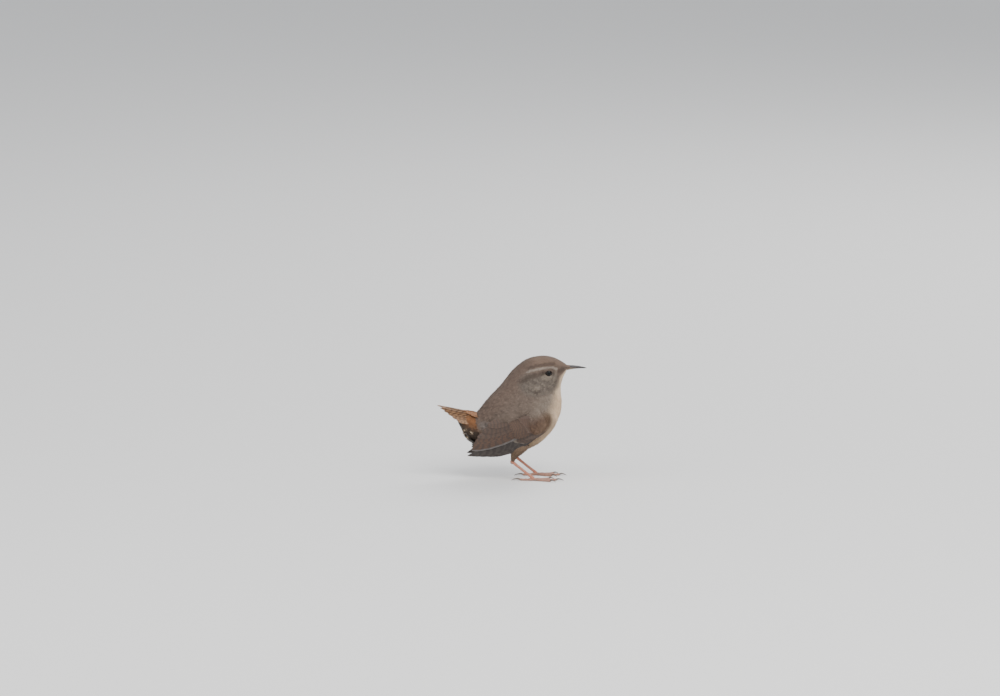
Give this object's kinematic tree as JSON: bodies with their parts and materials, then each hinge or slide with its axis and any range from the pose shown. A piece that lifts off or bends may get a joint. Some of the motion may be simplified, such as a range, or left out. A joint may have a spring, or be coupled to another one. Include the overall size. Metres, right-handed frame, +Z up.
{
  "type": "wren",
  "caption": "Life-size still model of a small round songbird standing with cocked tail, parted into head, neck, torso, wings, tail, legs and feet.",
  "frame": {"origin": "centre of the model's box at the level of the soles", "axes": "+X the way the bird faces, +Y its left side, +Z up"},
  "size_m": [0.078, 0.0342, 0.0648],
  "materials": {
    "plumage": "soft matt feathers",
    "wing_feathers": "barred flight feathers",
    "tail_feathers": "barred rufous feathers",
    "eye": "wet dark gloss",
    "bill": "dark horn",
    "leg_skin": "pinkish scaled skin",
    "claw": "horn"
  },
  "bodies": {
    "root": {"bill_lower": "bill", "bill_upper": "bill", "claw_left_hind": "claw", "claw_left_inner": "claw", "claw_left_middle": "claw", "claw_left_outer": "claw", "claw_right_hind": "claw", "claw_right_inner": "claw", "claw_right_middle": "claw", "claw_right_outer": "claw", "eye_left": "eye", "eye_right": "eye", "foot_left": "leg_skin", "foot_right": "leg_skin", "head": "plumage", "neck": "plumage", "tail": "tail_feathers", "tarsus_left": "leg_skin", "tarsus_right": "leg_skin", "thigh_left": "plumage", "thigh_right": "plumage", "torso": "plumage", "wing_left": "wing_feathers", "wing_right": "wing_feathers"}
  },
  "joints": []
}
